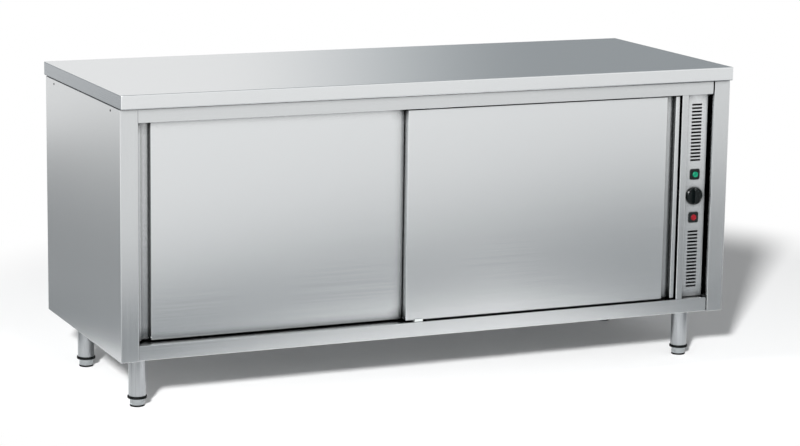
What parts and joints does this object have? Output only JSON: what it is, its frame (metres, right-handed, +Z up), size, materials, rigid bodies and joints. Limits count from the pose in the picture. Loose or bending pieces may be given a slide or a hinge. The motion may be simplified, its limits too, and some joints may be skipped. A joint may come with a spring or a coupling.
{
  "type": "plate warmer cabinet",
  "caption": "Floor-standing insulated steel plate warmer cabinet with a worktop, two sliding doors, a middle shelf and a fan heater behind a narrow control column.",
  "frame": {"origin": "on the floor, under the middle of the worktop", "axes": "+X along the cabinet to the right as seen from the front, +Y to the back, +Z up; the doors face -Y"},
  "size_m": [1.8, 0.7, 0.85],
  "materials": {
    "worktop_steel": "satin",
    "body_steel": "satin",
    "door_steel": "satin",
    "liner_steel": "satin",
    "leg_steel": "satin",
    "zinc_steel": "satin",
    "track_aluminium": "satin",
    "sound_board": "matte",
    "insulation_wool": "matte",
    "core_board": "matte",
    "roller_nylon": "satin",
    "guide_nylon": "matte",
    "black_plastic": "satin",
    "knob_plastic": "satin",
    "green_lens": "gloss",
    "red_lens": "gloss",
    "foot_metal": "satin",
    "pad_rubber": "matte",
    "motor_metal": "satin",
    "element_steel": "satin",
    "screw_steel": "satin"
  },
  "bodies": {
    "cabinet": {"worktop": "worktop_steel", "worktop_board": "sound_board", "worktop_stiffeners": "zinc_steel", "left_side_panel": "body_steel", "right_side_panel": "body_steel", "side_screws": "screw_steel", "upper_rail": "body_steel", "lower_rail": "body_steel", "base_pan": "liner_steel", "back_panel": "body_steel", "left_liner": "liner_steel", "back_liner": "liner_steel", "ceiling_liner": "liner_steel", "insulation": "insulation_wool", "door_track": "track_aluminium", "door_guide": "guide_nylon", "door_jamb": "body_steel", "partition": "liner_steel", "control_panel": "body_steel", "power_button_housing": "black_plastic", "heating_lamp_housing": "black_plastic", "heating_lamp_lens": "red_lens", "thermostat": "black_plastic", "shelf_strips": "liner_steel", "shelf_clips": "zinc_steel", "fan_housing": "zinc_steel", "fan_motor": "motor_metal", "heating_element": "element_steel", "cable_gland": "black_plastic", "leg_plates": "zinc_steel", "leg_bushes": "black_plastic", "leg_front_left": "leg_steel", "leg_front_right": "leg_steel", "leg_back_left": "leg_steel", "leg_back_right": "leg_steel"},
    "left_door": {"left_door_skin": "door_steel", "left_door_core": "core_board", "left_door_liner": "liner_steel", "left_door_hangers": "zinc_steel"},
    "right_door": {"right_door_skin": "door_steel", "right_door_core": "core_board", "right_door_liner": "liner_steel", "right_door_hangers": "zinc_steel"},
    "knob": {"thermostat_knob": "knob_plastic", "thermostat_stem": "zinc_steel"},
    "power_button": {"power_button": "green_lens"},
    "fan_wheel": {"fan_wheel": "zinc_steel"},
    "shelf": {"middle_shelf": "liner_steel"},
    "left_door_roller_1": {"left_door_roller_1": "roller_nylon"},
    "left_door_roller_2": {"left_door_roller_2": "roller_nylon"},
    "right_door_roller_1": {"right_door_roller_1": "roller_nylon"},
    "right_door_roller_2": {"right_door_roller_2": "roller_nylon"},
    "foot_front_left": {"foot_front_left": "foot_metal", "foot_pad_front_left": "pad_rubber"},
    "foot_front_right": {"foot_front_right": "foot_metal", "foot_pad_front_right": "pad_rubber"},
    "foot_back_left": {"foot_back_left": "foot_metal", "foot_pad_back_left": "pad_rubber"},
    "foot_back_right": {"foot_back_right": "foot_metal", "foot_pad_back_right": "pad_rubber"}
  },
  "joints": [
    {"name": "left_door_slide", "type": "slide", "parent": "cabinet", "child": "left_door", "axis": [1, 0, 0], "range_m": [0, 0.757]},
    {"name": "left_door_roller_1_turn", "type": "hinge", "parent": "left_door", "child": "left_door_roller_1", "pos_m": [-0.756, -0.291, 0.7898], "axis": [0, 1, 0], "range_deg": [0, 4340]},
    {"name": "left_door_roller_2_turn", "type": "hinge", "parent": "left_door", "child": "left_door_roller_2", "pos_m": [-0.103, -0.291, 0.7898], "axis": [0, 1, 0], "range_deg": [0, 4340]},
    {"name": "right_door_slide", "type": "slide", "parent": "cabinet", "child": "right_door", "axis": [-1, 0, 0], "range_m": [0, 0.757]},
    {"name": "right_door_roller_1_turn", "type": "hinge", "parent": "right_door", "child": "right_door_roller_1", "pos_m": [0.001, -0.317, 0.7898], "axis": [0, -1, 0], "range_deg": [0, 4340]},
    {"name": "right_door_roller_2_turn", "type": "hinge", "parent": "right_door", "child": "right_door_roller_2", "pos_m": [0.654, -0.317, 0.7898], "axis": [0, -1, 0], "range_deg": [0, 4340]},
    {"name": "knob_turn", "type": "hinge", "parent": "cabinet", "child": "knob", "pos_m": [0.807, -0.314, 0.48125], "axis": [0, 1, 0], "range_deg": [0, 270]},
    {"name": "power_button_press", "type": "slide", "parent": "cabinet", "child": "power_button", "axis": [0, 1, 0], "range_m": [0, 0.003], "stiffness_N_per_m": 400},
    {"name": "fan_spin", "type": "hinge", "parent": "cabinet", "child": "fan_wheel", "pos_m": [0.819, 0.04, 0.33], "axis": [1, 0, 0], "continuous": true},
    {"name": "shelf_lift", "type": "slide", "parent": "cabinet", "child": "shelf", "axis": [0, 0, 1], "range_m": [0, 0.12]},
    {"name": "foot_front_left_level", "type": "slide", "parent": "cabinet", "child": "foot_front_left", "axis": [0, 0, -1], "range_m": [0, 0.03]},
    {"name": "foot_front_right_level", "type": "slide", "parent": "cabinet", "child": "foot_front_right", "axis": [0, 0, -1], "range_m": [0, 0.03]},
    {"name": "foot_back_left_level", "type": "slide", "parent": "cabinet", "child": "foot_back_left", "axis": [0, 0, -1], "range_m": [0, 0.03]},
    {"name": "foot_back_right_level", "type": "slide", "parent": "cabinet", "child": "foot_back_right", "axis": [0, 0, -1], "range_m": [0, 0.03]}
  ],
  "couplings": [
    {"joint": "left_door_roller_1_turn", "follows": "left_door_slide", "rad_per_m": 100},
    {"joint": "left_door_roller_2_turn", "follows": "left_door_slide", "rad_per_m": 100},
    {"joint": "right_door_roller_1_turn", "follows": "right_door_slide", "rad_per_m": 100},
    {"joint": "right_door_roller_2_turn", "follows": "right_door_slide", "rad_per_m": 100}
  ]
}
